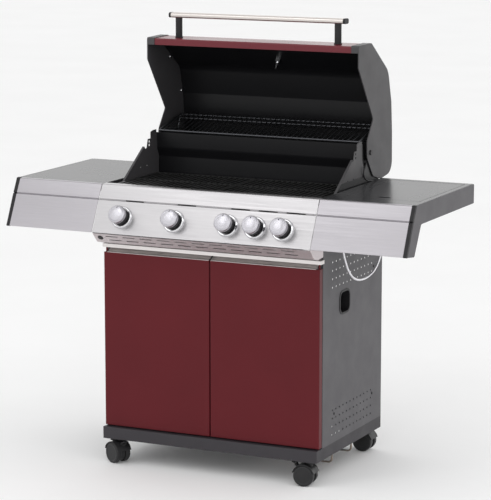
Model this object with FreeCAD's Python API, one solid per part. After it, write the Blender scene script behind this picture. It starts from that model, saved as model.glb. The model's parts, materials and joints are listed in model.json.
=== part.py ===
import FreeCAD, Part
import math
import os

# Gas barbecue grill: four main burners and a side burner over a two-door cabinet on four twin-wheel casters.
# Millimetres. +X is the user's right as seen from the front, +Y is the back, +Z is up, and z = 0 is the floor.
# The model is drawn with its lid open against the stop and everything else closed.

V = FreeCAD.Vector

# ---------------------------------------------------------------- driving dimensions
SHEET = 1.5                      # wall of the folded sheet parts
RUNNING = 0.05                   # radial clearance of a pin or shaft that turns in its hole
CABINET_HALF = 354.0             # half width of doors, side panels and base
PANEL_SHEET = 1.0                # wall of the side panels
TOTAL_HALF = 650.0               # half width over the side shelves
BASE_FRONT, BASE_BACK = -244.0, 245.0
BASE_BOTTOM, BASE_TOP = 73.0, 109.0
SIDE_FRONT, SIDE_TOP = -204.0, 840.0
SHELF_TOP = 852.0
REAR_PANEL_TOP = 490.0

BOTTLE_HOLE = (195.0, -38.0, 140.0)        # x, y and radius of the hole for the gas bottle
CRADLE_Y = (-111.0, 34.0)                  # depth of the two rods the bottle stands on
CRADLE_Z = 45.0

# Fascia over the control panel and both shelves: (y, z) down its outer face, with a small step at the fold
FASCIA_TOP = (-232.7, 852.0)
FASCIA_FOLD = [(-254.6, 811.0), (-251.2, 808.5), (-256.8, 806.8)]
FASCIA_FOOT = (-300.7, 715.2)
PANEL_HALF = 354.0
PANEL_SLOT = (60.0, 3.0)                   # air slots in the step of the fold, one beside each knob
VENT = [(-298.2, 711.9), (-269.0, 682.0), (-241.0, 675.5), (SIDE_FRONT, 679.0)]
VENT_SLOT = (41.0, 4.0)
VENT_PITCH = 57.3
VENT_COUNT = 11
VENT_ROWS = [(0.26, -314.0), (0.66, -307.0)]   # share of the strip's slope, and x of each row's first slot

DOOR_FRONT, DOOR_BACK = -229.7, -207.7
DOOR_BOTTOM, DOOR_TOP = 113.0, 645.0
DOOR_GAP = 3.0
DOOR_PIN = (349.0, -218.0)       # distance from the middle, and depth, of each door's pivot line
DOOR_PIN_R = 3.0
CROSSBAR_HALF = 358.0
CROSSBAR_Z = (660.0, 671.0)

PERFORATION_R = 3.0
PERFORATION_COUNT = 12
PERFORATIONS = [(-131.0, 26.6, (134.0, 159.0, 183.5, 208.0)), (-134.0, 27.0, (577.0, 602.0, 627.0, 652.0))]
GRIP = (-80.0, -8.0, 488.0, 553.0)         # y and z range of the hand hold in each side panel
GRIP_R = 20.0
PANEL_SCREWS = [(-118.0, 196.0), (172.0, 196.0), (177.0, 590.0)]

KNOB_X = [-264.7, -91.9, 82.5, 171.3, 259.6]
SIDE_BURNER_KNOB = 3             # index of the knob that feeds the side burner
KNOB_FACE = (-278.3, 762.0)      # (y, z) where each knob's axis leaves the panel's face
KNOB_SKIRT_R, KNOB_CAP_R = 25.5, 27.0
KNOB_BACK, KNOB_TOP = 6.0, 44.0  # distances out from the panel's face
STEM_END = (-32.0, 30.0)
STEM_R = 4.0
VALVE = (-49.9, -12.0)
VALVE_R = 12.0
MANIFOLD_OUT = -60.0
MANIFOLD_R = 10.0
MANIFOLD_X = (-318.0, 378.0)
SUPPLY_THREAD = (6.58, 12.0)     # radius and length of the gas supply's thread

BURNER_Z = 751.0
BURNER_R = 12.0
BURNER_Y = (-212.0, 105.0)
TAMER_Z = (774.0, 804.0)
FIREBOX_HALF = 346.0             # inside of the firebox's side walls
FIREBOX_WALL = 2.0
FIREBOX_FRONT, FIREBOX_REAR = -205.0, 118.0
FIREBOX_BOTTOM, FIREBOX_RIM = 705.0, 846.0
GRATE_X, GRATE_Y, GRATE_Z = (1.5, 340.0), (-198.0, 98.0), (834.0, 846.0)
TRAY_X, TRAY_Y, TRAY_Z = 250.0, (-175.0, 205.0), (678.0, 700.0)

LID_HINGE = (150.0, 940.0)       # (y, z) of the lid's hinge line
LID_BOLT_R = 4.0
LID_HALF = 352.0                 # outside of the lid's end caps
CAP_WALL = 3.0
CAP_RIM = (25.0, 3.5)            # width across and thickness of the end caps' rim
# End cap with the lid open: (y, z, corner radius), from the front edge over the top to the rear, and back under
LID_OUTER = [(54, 1200, 10), (54, 1267, 6), (150, 1269, 25), (285, 1174, 60), (312, 1078, 40),
             (320, 983, 60), (322, 862, 40), (232, 850, 20)]
LID_INNER = [(172, 866, 25), (123, 928, 40), (125, 977, 30), (170, 1038, 8)]
SKIN_INSET = 2.0                 # the outer skin lies this far inside the caps' outline
LINER_GAP = 20.0                 # distance from the outer skin to the liner
THERMOMETER_R = 30.0
THERMOMETER_X = 17.0
THERMOMETER_AT = 92.0            # distance of the thermometer along the lid's top slope

HANDLE_Y = (85.0, 115.0)
HANDLE_Z = (1327.0, 1343.0)
HANDLE_HALF = 293.0
HANDLE_PLUG = 7.0
HANDLE_POST_X = 265.0

RACK_PIVOT = (225.0, 968.0)      # (y, z) where the warming rack hangs on the lid
RACK_FRONT = (100.0, 977.0)
RACK_REAR = (243.0, 1011.0)
RACK_BACKSTOP = (240.0, 1000.0)
RACK_HALF = 334.0
RACK_SKIN = 0.8                  # what is left of the cap's wall behind each pivot hole
RACK_ROD_R, RACK_WIRE_R = 3.0, 1.5
RACK_WIRES = 39

FRONT_END_X = 639.0              # where each shelf front meets its end trim
SHELF_FROM = 356.0
SHELF_FRONT_BACK = -222.0
SHELF_BACK = 240.0
SHELF_BOTTOM = 794.0
TRIM_DEPTH = 10.0
END_WALL = 4.0
SIDE_LID = (398.0, 628.0, -150.0, 215.0)   # x and y range of the side burner's lid
SIDE_LID_PIN = (210.0, 847.0)              # (y, z) of its hinge
SIDE_LID_KNUCKLES = (420.0, 606.0)
SIDE_BURNER = (513.0, 34.0)
WELL_DEPTH = 30.0

CASTER_XY = (326.0, 223.0)
CASTER_TRAIL = 16.0              # distance from the swivel's axis to the wheels' axle
CASTER_STEM_R = 5.0
WHEEL_R = 31.0
WHEEL_Y = (8.5, 25.0)            # the two discs' faces, measured from the middle
AXLE_R = 3.0
HOOD_R = (32.3, 35.0)
BRAKE_PIVOT = (43.5, 60.5)       # (x, z) of the brake lever's pin in the caster's own frame
BRAKE_PIN_R = 2.0
# x side, y side, rest angle of the trail about +Z in degrees, and whether the caster has a brake
CASTERS = {
    "front_left": (-1, -1, -25.0, True),
    "front_right": (1, -1, 185.0, True),
    "rear_left": (-1, 1, 5.0, False),
    "rear_right": (1, 1, 180.0, False),
}

HOSE_D = 6.5
HOSE_ROUTE = [(378, -128, 722), (379, -121, 690), (381, -107, 655), (384, -90, 622), (389, -66, 596),
              (396, -34, 585), (404, 2, 587), (413, 33, 600), (421, 54, 628), (428, 62, 664),
              (434, 64, 702), (438, 63, 740), (440, 62, 775)]

FACE_LENGTH = math.dist(FASCIA_FOLD[2], FASCIA_FOOT)
FACE_DOWN = V(0, FASCIA_FOOT[0] - FASCIA_FOLD[2][0], FASCIA_FOOT[1] - FASCIA_FOLD[2][1]) * (1 / FACE_LENGTH)
FACE_NORMAL = V(0, FACE_DOWN.z, -FACE_DOWN.y)
BURNER_X = [x for i, x in enumerate(KNOB_X) if i != SIDE_BURNER_KNOB]


# ---------------------------------------------------------------- drawing helpers
def box(x0, x1, y0, y1, z0, z1):
    return Part.makeBox(x1 - x0, y1 - y0, z1 - z0, V(x0, y0, z0))


def cylinder(start, end, radius):
    a, b = V(*start), V(*end)
    return Part.makeCylinder(radius, (b - a).Length, a, b - a)


def across_x(y, z, x0, x1, radius):
    return cylinder((x0, y, z), (x1, y, z), radius)


def upright(x, y, z0, z1, radius):
    return cylinder((x, y, z0), (x, y, z1), radius)


def joined(*shapes):
    whole = shapes[0]
    for shape in shapes[1:]:
        whole = whole.fuse(shape)
    return whole.removeSplitter()


def mirrored(solid):
    return solid.mirror(V(0, 0, 0), V(1, 0, 0))


def pair(solid):
    return [solid, mirrored(solid)]


def on_side(side, solid):
    return [solid if side > 0 else mirrored(solid)]


def at_x(x):
    return lambda u, v: V(x, u, v)


def at_y(y):
    return lambda u, v: V(u, y, v)


def at_z(z):
    return lambda u, v: V(u, v, z)


def outline(points, place):
    """Closed wire through (u, v) or (u, v, radius) corners, with an arc at each corner that has a radius."""
    ends = []
    count = len(points)
    for i, point in enumerate(points):
        here = V(point[0], point[1], 0)
        radius = point[2] if len(point) > 2 else 0.0
        if radius <= 0:
            ends.append((here, None, here))
            continue
        back = (V(points[i - 1][0], points[i - 1][1], 0) - here).normalize()
        following = points[(i + 1) % count]
        ahead = (V(following[0], following[1], 0) - here).normalize()
        half = back.getAngle(ahead) / 2
        reach = radius / math.tan(half)
        bisector = (back + ahead).normalize()
        middle = here + bisector * (radius / math.sin(half) - radius)
        ends.append((here + back * reach, middle, here + ahead * reach))
    edges = []
    for i, (start, middle, end) in enumerate(ends):
        leaving = place(end.x, end.y)
        if middle is not None:
            edges.append(Part.Arc(place(start.x, start.y), place(middle.x, middle.y), leaving).toShape())
        arriving = ends[(i + 1) % count][0]
        target = place(arriving.x, arriving.y)
        if (target - leaving).Length > 1e-6:
            edges.append(Part.LineSegment(leaving, target).toShape())
    return Part.Wire(edges)


def circle(u, v, radius, place):
    centre = place(u, v)
    normal = (place(u + 1, v) - centre).cross(place(u, v + 1) - centre)
    return Part.Wire([Part.Circle(centre, normal, radius).toShape()])


def rectangle(u0, u1, v0, v1, radius=0.0):
    return [(u0, v0, radius), (u1, v0, radius), (u1, v1, radius), (u0, v1, radius)]


def plate(points, place, depth, holes=()):
    """Flat piece with an outline, and holes given as wires in the same plane, pushed through depth (a vector)."""
    face = Part.makeFace([outline(points, place)] + list(holes), "Part::FaceMakerBullseye")
    return face.extrude(depth)


def prism_x(points, x0, x1):
    return plate(points, at_x(x0), V(x1 - x0, 0, 0))


def prism_y(points, y0, y1):
    return plate(points, at_y(y0), V(0, y1 - y0, 0))


def prism_z(points, z0, z1):
    return plate(points, at_z(z0), V(0, 0, z1 - z0))


def shifted(points, distance):
    """The open path (y, z[, radius]) moved sideways to its left by distance, with its corners mitred."""
    flat = [V(p[0], p[1], 0) for p in points]
    result = []
    for i, here in enumerate(flat):
        before = (here - flat[i - 1]).normalize() if i else None
        after = (flat[i + 1] - here).normalize() if i + 1 < len(flat) else None
        first = before or after
        second = after or before
        n1 = V(-first.y, first.x, 0)
        n2 = V(-second.y, second.x, 0)
        moved = here + (n1 + n2) * (distance / (1 + n1.dot(n2)))
        radius = points[i][2] if len(points[i]) > 2 else 0.0
        if radius and before and after:
            turns_left = first.cross(second).z > 0
            radius = max(radius - distance if turns_left else radius + distance, 0.6)
        result.append((moved.x, moved.y, radius))
    return result


def without_end_radii(path):
    return [(p[0], p[1], p[2] if 0 < i < len(path) - 1 and len(p) > 2 else 0.0) for i, p in enumerate(path)]


def folded(points, thickness, x0, x1):
    """Sheet bent along the path (y, z[, radius]), with its thickness on the path's left, from x0 to x1."""
    near = without_end_radii(points)
    far = without_end_radii(shifted(points, thickness))
    return prism_x(near + far[::-1], x0, x1)


def rod(points, diameter, radius):
    """Round bar along points; radius is one bend radius, or a function of the turn and the shorter run."""
    knots = [V(*p) for p in points]
    edges = []
    last = knots[0]
    for i in range(1, len(knots) - 1):
        back = knots[i - 1] - knots[i]
        ahead = knots[i + 1] - knots[i]
        shorter = min(back.Length, ahead.Length)
        turn = math.pi - back.getAngle(ahead)
        bend = radius(turn, shorter) if callable(radius) else radius
        back.normalize()
        ahead.normalize()
        reach = bend * math.tan(turn / 2)
        bisector = (back + ahead).normalize()
        middle = knots[i] + bisector * (bend / math.cos(turn / 2) - bend)
        start = knots[i] + back * reach
        end = knots[i] + ahead * reach
        edges.append(Part.LineSegment(last, start).toShape())
        edges.append(Part.Arc(start, middle, end).toShape())
        last = end
    edges.append(Part.LineSegment(last, knots[-1]).toShape())
    section = Part.Wire([Part.Circle(knots[0], knots[1] - knots[0], diameter / 2).toShape()])
    return Part.Wire(edges).makePipeShell([section], True, False)


def turned(profile, start, axis):
    """Solid turned about axis from start; profile is (radius, distance along the axis) and is closed."""
    points = [V(r, 0, s) for r, s in profile]
    solid = Part.Face(Part.makePolygon(points + [points[0]])).revolve(V(0, 0, 0), V(0, 0, 1), 360)
    solid.Placement = FreeCAD.Placement(start, FreeCAD.Rotation(V(0, 0, 1), axis))
    return solid


def on_face(x, out):
    """Point on a knob's axis, a distance out from the panel's face."""
    return V(x, *KNOB_FACE) + FACE_NORMAL * out


def along_normal(x, near, far, radius):
    return cylinder(on_face(x, near), on_face(x, far), radius)


# ---------------------------------------------------------------- base, cabinet and doors
def base_tray():
    """Pressed floor with a skirt, a socket plate in each corner and the hole the gas bottle hangs in."""
    x, wall, plate_t, reach = CABINET_HALF, 2.0, 3.0, 60.0
    tray = box(-x, x, BASE_FRONT, BASE_BACK, BASE_BOTTOM, BASE_TOP)
    tray = tray.cut(box(wall - x, x - wall, BASE_FRONT + wall, BASE_BACK - wall, BASE_BOTTOM - 1, BASE_TOP - wall))
    corners = box(wall / 2 - x, x - wall / 2, BASE_FRONT + wall / 2, BASE_BACK - wall / 2,
                  BASE_BOTTOM, BASE_BOTTOM + plate_t)
    corners = corners.cut(box(reach - x, x - reach, BASE_FRONT, BASE_BACK, BASE_BOTTOM, BASE_TOP))
    corners = corners.cut(box(-x, x, BASE_FRONT + reach, BASE_BACK - reach, BASE_BOTTOM, BASE_TOP))
    tray = tray.fuse(corners)
    for side, end, _, _ in CASTERS.values():
        tray = tray.cut(upright(side * CASTER_XY[0], end * CASTER_XY[1], BASE_BOTTOM - 1, BASE_BOTTOM + plate_t + 1,
                                CASTER_STEM_R + RUNNING))
    hole_x, hole_y, hole_r = BOTTLE_HOLE
    tray = tray.cut(upright(hole_x, hole_y, BASE_TOP - 2 * wall, BASE_TOP + 1, hole_r))
    for side in (-1, 1):
        tray = tray.cut(upright(side * DOOR_PIN[0], DOOR_PIN[1], BASE_TOP - 5, BASE_TOP + 1, DOOR_PIN_R + RUNNING))
    return [tray.removeSplitter()]


def bottle_cradle():
    """Two bent rods under the floor that the gas bottle stands on."""
    x0, x1, top = BOTTLE_HOLE[0] - 150, BOTTLE_HOLE[0] + 150, BASE_TOP - 2
    return [rod([(x1, y, top), (x1, y, CRADLE_Z), (x0, y, CRADLE_Z), (x0, y, top)], 6.0, 12.0) for y in CRADLE_Y]


def side_panels():
    """Perforated side sheets with a hand hold, and flanges turned in at the front and rear."""
    thick, flange, flange_top = PANEL_SHEET, 18.0, 700.0
    inside = CABINET_HALF - thick
    place = at_x(inside)
    holes = [outline(rectangle(*GRIP, GRIP_R), place)]
    for first, pitch, rows in PERFORATIONS:
        holes += [circle(first + i * pitch, z, PERFORATION_R, place) for i in range(PERFORATION_COUNT) for z in rows]
    panel = plate(rectangle(SIDE_FRONT, BASE_BACK, BASE_TOP, SIDE_TOP), place, V(thick, 0, 0), holes)
    front = box(inside - flange, inside, SIDE_FRONT, SIDE_FRONT + thick, BASE_TOP, flange_top)
    rear = box(inside - flange, inside, BASE_BACK - thick, BASE_BACK, BASE_TOP, SIDE_TOP)
    return pair(joined(panel, front, rear))


def plastic_inserts():
    """Recessed cups in the hand holds, the plug at the left end of the vent strip, and the doors' magnet catch."""
    y0, y1, z0, z1 = GRIP
    rim, wall, depth, proud = 4.0, 2.0, 30.0, 1.6
    outside = CABINET_HALF + proud
    flange = prism_x(rectangle(y0 - rim, y1 + rim, z0 - rim, z1 + rim, GRIP_R + rim), CABINET_HALF, outside)
    cup = flange.fuse(prism_x(rectangle(y0, y1, z0, z1, GRIP_R), CABINET_HALF - depth, outside))
    hollow = rectangle(y0 + wall, y1 - wall, z0 + wall, z1 - wall, GRIP_R - wall)
    cup = cup.cut(prism_x(hollow, CABINET_HALF - depth + wall, outside + 1)).removeSplitter()
    plug = joined(cylinder(plug_point(-3), plug_point(SHEET), 8.0), cylinder(plug_point(-3), plug_point(0), 9.0))
    catch = box(-22, 22, SIDE_FRONT, SIDE_FRONT + 14, CROSSBAR_Z[0] - 22, CROSSBAR_Z[0] + 8)
    return pair(cup) + [plug, catch]


def rear_panel():
    """Low back sheet with a stiffening fold, and a rail across the top of the back."""
    half, outside = CABINET_HALF - PANEL_SHEET, BASE_BACK - PANEL_SHEET
    low = folded([(outside, BASE_TOP), (outside, REAR_PANEL_TOP, 2), (outside - 16, REAR_PANEL_TOP)], SHEET, -half, half)
    rail = folded([(outside - 30, SIDE_TOP), (outside, SIDE_TOP, 3), (outside, SIDE_TOP - 50)], -2.0, -half, half)
    return [low, rail]


def front_crossbar():
    """Channel over the doors, with holes in its floor for the doors' upper pins."""
    y0, y1, (z0, z1) = DOOR_FRONT + 0.7, SIDE_FRONT, CROSSBAR_Z
    bar = box(-CROSSBAR_HALF, CROSSBAR_HALF, y0, y1, z0, z1)
    bar = bar.cut(box(SHEET - CROSSBAR_HALF, CROSSBAR_HALF - SHEET, y0 + SHEET, y1 - SHEET, z0 + SHEET, z1 + 1))
    for side in (-1, 1):
        bar = bar.cut(upright(side * DOOR_PIN[0], DOOR_PIN[1], z0 - 1, z0 + 3, DOOR_PIN_R + RUNNING))
    return [bar]


def door(side):
    """Door pan, open at the back, with its two pivot pins."""
    inner, outer, wall, pin_root = DOOR_GAP / 2, CABINET_HALF, 1.4, 12.0
    corners = [(inner, DOOR_BACK), (inner, DOOR_FRONT, 3), (outer, DOOR_FRONT, 3), (outer, DOOR_BACK)]
    pan = prism_z(corners, DOOR_BOTTOM, DOOR_TOP)
    pan = pan.cut(box(inner + wall, outer - wall, DOOR_FRONT + wall, DOOR_BACK + 1, DOOR_BOTTOM + wall, DOOR_TOP - wall))
    low_pin = upright(*DOOR_PIN, BASE_TOP - 5, DOOR_BOTTOM + pin_root, DOOR_PIN_R)
    high_pin = upright(*DOOR_PIN, DOOR_TOP - pin_root, CROSSBAR_Z[0] + 6, DOOR_PIN_R)
    return on_side(side, joined(pan, low_pin, high_pin))


def door_strip(side):
    """Aluminium finger pull on the door's top edge: it rises in a hollow curve as it runs back."""
    front, back, base = DOOR_FRONT + 0.3, DOOR_BACK + 1, DOOR_TOP
    points = [(front, base), (front, base + 1.2), (front + 9, base + 4, 8), (back - 1, base + 12), (back, base + 11),
              (front + 12, base + 3), (back - 4, base + 1.4), (back - 4, base)]
    return on_side(side, prism_x(points, DOOR_GAP, DOOR_PIN[0] - 7))


# ---------------------------------------------------------------- fascia: control panel, vents and shelves
def fascia_path(back):
    fold = [(*point, radius) for point, radius in zip(FASCIA_FOLD, (1.5, 1.0, 1.5))]
    return [(back, FASCIA_TOP[1]), (*FASCIA_TOP, 4)] + fold + [FASCIA_FOOT]


def control_panel():
    """Folded fascia with a hole for each valve stem and closed ends that meet the side panels."""
    panel = folded(fascia_path(SIDE_FRONT - 3), SHEET, -PANEL_HALF, PANEL_HALF)
    ends = [(SIDE_FRONT, FASCIA_TOP[1] - 2), FASCIA_TOP, *FASCIA_FOLD, FASCIA_FOOT, (FASCIA_FOOT[0] + 3, 713.3),
            (SIDE_FRONT, 713.3)]
    ends = [(y + 0.4, z) if y < SIDE_FRONT else (y, z) for y, z in ends]
    end = prism_x(ends, PANEL_HALF - SHEET, PANEL_HALF)
    rail = on_face(0, MANIFOLD_OUT)
    end = end.cut(across_x(rail.y, rail.z, PANEL_HALF - 5, PANEL_HALF + 5, MANIFOLD_R + 3))
    panel = joined(panel, end, mirrored(end))
    length, height = PANEL_SLOT
    fold_y, fold_z = FASCIA_FOLD[1]
    for x in KNOB_X:
        panel = panel.cut(along_normal(x, -4, 4, 8.0))
        panel = panel.cut(box(x, x + length, fold_y - 4, fold_y + 6, fold_z - 1.2, fold_z - 1.2 + height))
    return [panel]


def vent_slope():
    """Directions down the strip's sloping face and out of it."""
    run = V(0, VENT[1][0] - VENT[0][0], VENT[1][1] - VENT[0][1]).normalize()
    return run, V(0, run.z, -run.y)


def plug_point(out):
    run, outward = vent_slope()
    return V(-334, *VENT[0]) + run * 19.0 + outward * out


def vent_strip():
    """Slotted strip that closes the panel underneath, with a gusset at each end."""
    strip = folded([(y, z, 1.6) for y, z in VENT], SHEET, -PANEL_HALF, PANEL_HALF)
    run, outward = vent_slope()
    slope = math.dist(VENT[0], VENT[1])
    length, height = VENT_SLOT
    for share, first in VENT_ROWS:
        for i in range(VENT_COUNT):
            corner = V(first + i * VENT_PITCH, *VENT[0]) + run * (share * slope - height / 2) - outward * 5
            corners = [corner, corner + V(length, 0, 0), corner + V(length, 0, 0) + run * height, corner + run * height]
            strip = strip.cut(Part.Face(Part.makePolygon(corners + [corner])).extrude(outward * 10))
    strip = strip.cut(cylinder(plug_point(-4), plug_point(4), 8.0).fuse(cylinder(plug_point(-4), plug_point(0), 9.0)))
    gusset = prism_x([*VENT, (SIDE_FRONT, 713.3), (VENT[0][0] + 0.9, 713.3)], PANEL_HALF - SHEET, PANEL_HALF)
    return [joined(strip, gusset, mirrored(gusset))]


def shelf_fronts():
    return pair(folded(fascia_path(SHELF_FRONT_BACK), SHEET, SHELF_FROM, FRONT_END_X))


def trim_back_edge():
    """The line the end trims share with the end plates, down from the top."""
    line = [FASCIA_TOP, *FASCIA_FOLD, FASCIA_FOOT]
    return [(y + TRIM_DEPTH, z) for y, z in line]


def shelf_trims():
    """Black plastic strip down the outer end of each shelf's front."""
    front = [(FASCIA_TOP[0] - 1, FASCIA_TOP[1] + 1, 4)] + [(y - 1, z) for y, z in FASCIA_FOLD]
    front.append((FASCIA_FOOT[0] - 1, FASCIA_FOOT[1] - 2, 3))
    back = trim_back_edge()
    back[0] = (back[0][0], FASCIA_TOP[1] + 1)
    back[-1] = (back[-1][0], FASCIA_FOOT[1] - 2)
    return pair(prism_x(front + back[::-1], FRONT_END_X, TOTAL_HALF))


def shelf_ends():
    """End plates: a deep front leg behind the trim, and a box side that runs to the back."""
    front = trim_back_edge()
    front[-1] = (front[-1][0], FASCIA_FOOT[1] - 2)
    rest = [(-240, 707, 8), (-190, SHELF_BOTTOM, 10), (SHELF_BACK, SHELF_BOTTOM, 4), (SHELF_BACK, SHELF_TOP, 4)]
    return pair(prism_x(front + rest, TOTAL_HALF - END_WALL, TOTAL_HALF))


def shelf_top(side):
    """Shelf tray with its edges folded down; the right one holds the side burner's well."""
    x0, x1, y0, y1 = CABINET_HALF, TOTAL_HALF - END_WALL, SHELF_FRONT_BACK, SHELF_BACK
    front_x = (SHELF_FROM + 1, FRONT_END_X - 1)
    top = joined(box(x0, x1, y0, y1, SHELF_TOP - SHEET, SHELF_TOP),
                 box(x0, x1, y1 - SHEET, y1, SHELF_BOTTOM, SHELF_TOP),
                 box(x0, x0 + SHEET, SIDE_FRONT, y1, SHELF_BOTTOM, SHELF_TOP),
                 box(x1 - SHEET, x1, y0, y1, SHELF_BOTTOM, SHELF_TOP),
                 box(*front_x, y0, y0 + SHEET, SHELF_TOP - 24, SHELF_TOP))
    if side < 0:
        return [mirrored(top)]
    lx0, lx1, ly0, ly1 = SIDE_LID
    side_gap, rear_gap = 1.5, 3.0
    inside = (lx0 - side_gap, lx1 + side_gap, ly0 - side_gap, ly1 + rear_gap)
    outside = (inside[0] - SHEET, inside[1] + SHEET, inside[2] - SHEET, inside[3] + SHEET)
    floor = SHELF_TOP - WELL_DEPTH
    top = joined(top, box(*outside, floor - SHEET, SHELF_TOP))
    top = top.cut(box(*inside, floor, SHELF_TOP + 1))
    return [top.cut(upright(*SIDE_BURNER, floor - 5, floor + 5, 27.0))]


# ---------------------------------------------------------------- firebox and what burns in it
def firebox():
    """Enamelled bowl bent in one piece, with side walls that carry the lid's hinges."""
    path = [(FIREBOX_FRONT, FIREBOX_RIM), (FIREBOX_FRONT, FIREBOX_BOTTOM, 6), (FIREBOX_REAR, FIREBOX_BOTTOM, 6),
            (FIREBOX_REAR, 896, 10), (106, 922, 20), (102, 970)]
    bowl = folded(path, FIREBOX_WALL, -FIREBOX_HALF, FIREBOX_HALF)
    bowl = bowl.cut(box(-200, 200, -100, -20, FIREBOX_BOTTOM - 1, FIREBOX_BOTTOM + 3))
    for x in BURNER_X:
        bowl = bowl.cut(cylinder((x, FIREBOX_FRONT - 1, BURNER_Z), (x, FIREBOX_FRONT + 3, BURNER_Z), BURNER_R + 0.5))
    hinge_y, hinge_z = LID_HINGE
    ear = 16.0
    side = [(FIREBOX_FRONT, FIREBOX_BOTTOM, 6), (FIREBOX_FRONT, 845), (-120, 845), (-120, 836), (-64, 872), (104, 872),
            (hinge_y - ear, 922, 12), (hinge_y - ear, hinge_z + ear, ear - 0.1),
            (hinge_y + ear, hinge_z + ear, ear - 0.1), (hinge_y + ear, 915, 12), (205, 880, 12), (226, 852, 6),
            (226, 842), (FIREBOX_REAR, 842), (FIREBOX_REAR, FIREBOX_BOTTOM, 6)]
    outer = FIREBOX_HALF + FIREBOX_WALL
    wall = prism_x(side, FIREBOX_HALF, outer)
    wall = wall.cut(across_x(hinge_y, hinge_z, FIREBOX_HALF - 1, outer + 1, LID_BOLT_R + RUNNING))
    spacers = [box(outer, CABINET_HALF - PANEL_SHEET, y, y + 20, 780, 820) for y in (-190, 90)]
    wall = joined(wall, *spacers)
    return [joined(bowl, wall, mirrored(wall))]


def firebox_sides():
    """Wind plates inside the side walls, notched for the rack, and the curved guards beside the lid's hinges."""
    thick, flange = 2.0, 1.5
    inside, outer = FIREBOX_HALF - thick, FIREBOX_HALF + 5
    points = [(-200, 820), (-200, 843), (-116, 843), (18, 933), (24, 926, 3), (34, 928, 3), (42, 955, 3), (60, 955),
              (60, 975), (76, 979), (97, 979), (97, 970), (101, 922), (112, 897), (112, 820)]
    place = at_x(inside)
    holes = [circle(y, 873, 3.0, place) for y in (-8, 34)]
    holes += [outline(rectangle(46, 54, z, z + 7, 1.5), place) for z in (932, 943)]
    side = plate(points, place, V(thick, 0, 0), holes)
    lip = folded([(-115, 843), (18, 933)], flange, inside, outer)
    guard = folded([(103, 904), (106, 868, 26), (140, 855, 30), (180, 850.6)], flange, FIREBOX_HALF + FIREBOX_WALL, outer)
    return pair(joined(side, lip)) + pair(guard)


def inner_rails():
    """Ledges inside the bowl for the grates and the flame tamers, and the runners of the drip tray."""
    half = FIREBOX_HALF - 2
    front, rear = FIREBOX_FRONT + FIREBOX_WALL, FIREBOX_REAR - FIREBOX_WALL
    rails = []
    for z in (GRATE_Z[0], TAMER_Z[0]):
        rails.append(folded([(front, z - 10), (front, z, 2), (front + 18, z)], -SHEET, -half, half))
        rails.append(folded([(rear - 22, z), (rear, z, 2), (rear, z - 10)], -SHEET, -half, half))
    outer, run = TRAY_X + 22, 1.6
    lip = TRAY_Z[1] - SHEET
    runner = joined(box(TRAY_X + run, outer, *TRAY_Y, lip - SHEET, lip), box(outer - SHEET, outer, *TRAY_Y, lip, FIREBOX_BOTTOM))
    return rails + pair(runner)


def burners():
    """Tube burners, open at the front for the gas jets and closed behind on a small spigot."""
    front, back = BURNER_Y
    tubes = []
    for x in BURNER_X:
        tube = cylinder((x, front, BURNER_Z), (x, back, BURNER_Z), BURNER_R)
        tube = tube.cut(cylinder((x, front - 1, BURNER_Z), (x, back - 2, BURNER_Z), BURNER_R - 1.2))
        tubes.append(joined(tube, cylinder((x, back - 2, BURNER_Z), (x, FIREBOX_REAR - 2, BURNER_Z), 4.0)))
    return tubes


def flame_tamers():
    """Roof-shaped sheets over the burners."""
    low, high = TAMER_Z
    half, y0, y1 = 50.0, FIREBOX_FRONT + 4, FIREBOX_REAR - 4
    tents = []
    for x in BURNER_X:
        points = [(x - half, low), (x - half, low + 4), (x, high, 8), (x + half, low + 4), (x + half, low),
                  (x + half - SHEET, low), (x + half - SHEET, low + 3), (x, high - 2, 7), (x - half + SHEET, low + 3),
                  (x - half + SHEET, low)]
        tents.append(prism_y(points, y0, y1))
    return tents


def gas_manifold():
    """Gas rail behind the panel, with the side burner's outlet at its right and the supply's thread at its left."""
    rail_y, rail_z = on_face(0, MANIFOLD_OUT).y, on_face(0, MANIFOLD_OUT).z
    left, right = MANIFOLD_X
    hose_x, hose_y, hose_z = HOSE_ROUTE[0]
    thread_r, thread = SUPPLY_THREAD
    branch = 6.0
    return [joined(across_x(rail_y, rail_z, left, right, MANIFOLD_R),
                   Part.makeSphere(MANIFOLD_R, V(right, rail_y, rail_z)),
                   cylinder((hose_x, rail_y, rail_z), (hose_x, hose_y, rail_z), branch),
                   Part.makeSphere(branch, V(hose_x, hose_y, rail_z)),
                   upright(hose_x, hose_y, hose_z + 1, rail_z, branch),
                   across_x(rail_y, rail_z, left - thread, left, thread_r))]


def gas_valves():
    """Valve bodies on the rail, each with a jet that points into its burner."""
    bodies = []
    for i, x in enumerate(KNOB_X):
        valve = along_normal(x, *VALVE, VALVE_R).cut(along_normal(x, STEM_END[0] - 8, VALVE[1] + 1, STEM_R + RUNNING))
        if i != SIDE_BURNER_KNOB:
            valve = valve.fuse(cylinder((x, on_face(x, -40).y + 6, BURNER_Z), (x, BURNER_Y[0] + 6, BURNER_Z), 4.0))
        bodies.append(valve.removeSplitter())
    return bodies


def knob_bezels():
    ring = [(28.5, 0), (34.0, 0), (34.0, 2.5), (32.5, 5.5), (30.0, 8.0), (28.5, 8.0)]
    return [turned(ring, on_face(x, 0), FACE_NORMAL) for x in KNOB_X]


def valve_stem(x):
    return [along_normal(x, *STEM_END, STEM_R)]


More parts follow.
